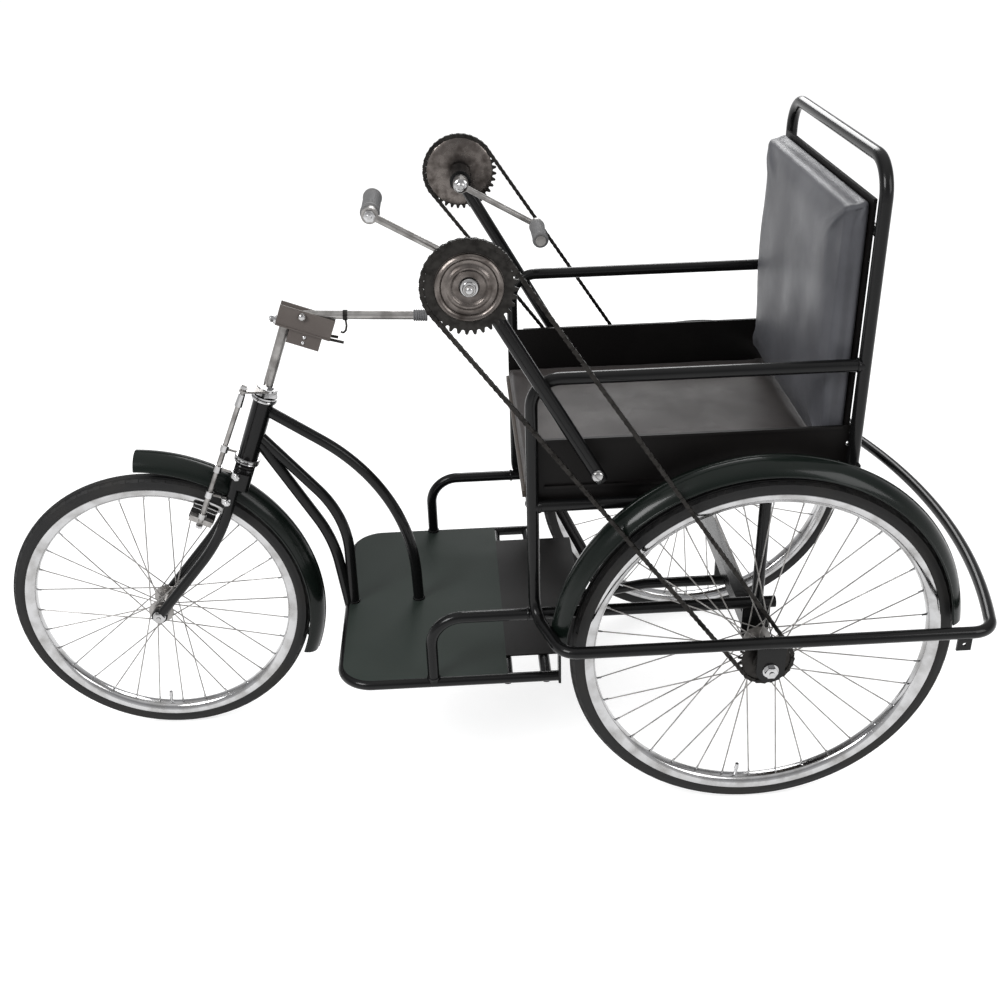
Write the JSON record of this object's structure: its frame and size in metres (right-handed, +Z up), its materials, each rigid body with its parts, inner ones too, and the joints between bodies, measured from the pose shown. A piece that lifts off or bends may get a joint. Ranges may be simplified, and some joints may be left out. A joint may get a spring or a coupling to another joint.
{
  "type": "hand-cranked tricycle",
  "caption": "Hand-cranked tricycle: padded seat between two spoked wheels, hand cranks with chains to them, a steered front wheel with tiller, foot plate and tube frame.",
  "frame": {"origin": "on the floor, at the middle of the whole length and width", "axes": "+X towards the rear bumper (the front wheel is at -X), +Y across to the vehicle's right, +Z up"},
  "size_m": [1.9402, 0.838, 1.234],
  "materials": {
    "frame_paint": "gloss black enamel",
    "fender_paint": "gloss dark green enamel",
    "floor_paint": "gloss grey green enamel",
    "panel_paint": "semi gloss black paint",
    "chrome": "bright plated, lightly worn",
    "steel": "zinc plated, dull",
    "oiled_steel": "dark oiled steel",
    "dish_steel": "pressed steel, semi bright",
    "tyre_rubber": "matt black rubber",
    "grip_rubber": "matt grey rubber",
    "seat_vinyl": "brown grey coated cloth",
    "back_vinyl": "grey coated cloth",
    "board_wood": "dark stained plywood",
    "bracket_steel": "worn brown grey paint"
  },
  "bodies": {
    "chassis": {"back_frame": "frame_paint", "arm_hoops": "frame_paint", "outer_rails": "frame_paint", "rear_bumper": "frame_paint", "inner_rails": "frame_paint", "axle_plates": "frame_paint", "axle_beam": "frame_paint", "rear_axles": "steel", "seat_frame": "frame_paint", "side_panels": "panel_paint", "seat_board": "board_wood", "seat_pad": "seat_vinyl", "back_board": "panel_paint", "back_pad": "back_vinyl", "floor_rim": "frame_paint", "floor_plate": "floor_paint", "floor_tray": "panel_paint", "leg_guards": "frame_paint", "hangers": "frame_paint", "spine": "frame_paint", "seat_brace": "frame_paint", "head_tube": "frame_paint", "main_tube": "frame_paint", "mid_tube": "frame_paint", "down_tube": "frame_paint", "crank_columns": "frame_paint", "chains": "oiled_steel", "rear_fenders": "fender_paint", "fender_lugs": "frame_paint", "lamp_brackets": "frame_paint"},
    "steering": {"fork": "frame_paint", "front_axle": "steel", "stem": "steel", "front_fender": "fender_paint", "tiller_bracket": "bracket_steel", "front_brake": "steel"},
    "tiller": {"tiller_bar": "steel", "tiller_grip": "grip_rubber"},
    "front_wheel": {"front_tyre": "tyre_rubber", "front_rim": "chrome", "front_spokes": "steel"},
    "left_wheel": {"left_tyre": "tyre_rubber", "left_rim": "chrome", "left_spokes": "steel"},
    "left_freewheel": {"left_sprocket": "oiled_steel"},
    "left_crankset": {"left_chainwheel": "dish_steel", "left_crank": "steel"},
    "left_handle": {"left_grip": "grip_rubber"},
    "right_wheel": {"right_tyre": "tyre_rubber", "right_rim": "chrome", "right_spokes": "steel"},
    "right_freewheel": {"right_sprocket": "oiled_steel"},
    "right_crankset": {"right_chainwheel": "dish_steel", "right_crank": "steel"},
    "right_handle": {"right_grip": "grip_rubber"}
  },
  "joints": [
    {"name": "steering", "type": "hinge", "parent": "chassis", "child": "steering", "pos_m": [-0.45013, 0, 0.635], "axis": [0.3584, 0, 0.9336], "range_deg": [-24, 24]},
    {"name": "tiller_tilt", "type": "hinge", "parent": "steering", "child": "tiller", "pos_m": [-0.31313, 0, 0.92], "axis": [0, -1, 0], "range_deg": [0, 75]},
    {"name": "front_wheel_spin", "type": "hinge", "parent": "steering", "child": "front_wheel", "pos_m": [-0.66713, 0, 0.303], "axis": [0, -1, 0], "continuous": true},
    {"name": "left_wheel_spin", "type": "hinge", "parent": "chassis", "child": "left_wheel", "pos_m": [0.50287, -0.328, 0.355], "axis": [0, -1, 0], "continuous": true},
    {"name": "left_crank_spin", "type": "hinge", "parent": "chassis", "child": "left_crankset", "pos_m": [-0.00913, -0.368, 1.083], "axis": [0, -1, 0], "continuous": true},
    {"name": "left_freewheel_spin", "type": "hinge", "parent": "chassis", "child": "left_freewheel", "pos_m": [0.50287, -0.368, 0.355], "axis": [0, -1, 0], "continuous": true},
    {"name": "left_handle_spin", "type": "hinge", "parent": "left_crankset", "child": "left_handle", "pos_m": [-0.15808, -0.19, 1.169], "axis": [0, -1, 0], "continuous": true},
    {"name": "right_wheel_spin", "type": "hinge", "parent": "chassis", "child": "right_wheel", "pos_m": [0.50287, 0.328, 0.355], "axis": [0, -1, 0], "continuous": true},
    {"name": "right_crank_spin", "type": "hinge", "parent": "chassis", "child": "right_crankset", "pos_m": [-0.00913, 0.368, 1.083], "axis": [0, -1, 0], "continuous": true},
    {"name": "right_freewheel_spin", "type": "hinge", "parent": "chassis", "child": "right_freewheel", "pos_m": [0.50287, 0.368, 0.355], "axis": [0, -1, 0], "continuous": true},
    {"name": "right_handle_spin", "type": "hinge", "parent": "right_crankset", "child": "right_handle", "pos_m": [0.13983, 0.19, 0.997], "axis": [0, -1, 0], "continuous": true}
  ],
  "couplings": [
    {"joint": "left_freewheel_spin", "follows": "left_crank_spin", "ratio": 1.5},
    {"joint": "right_freewheel_spin", "follows": "right_crank_spin", "ratio": 1.5}
  ]
}
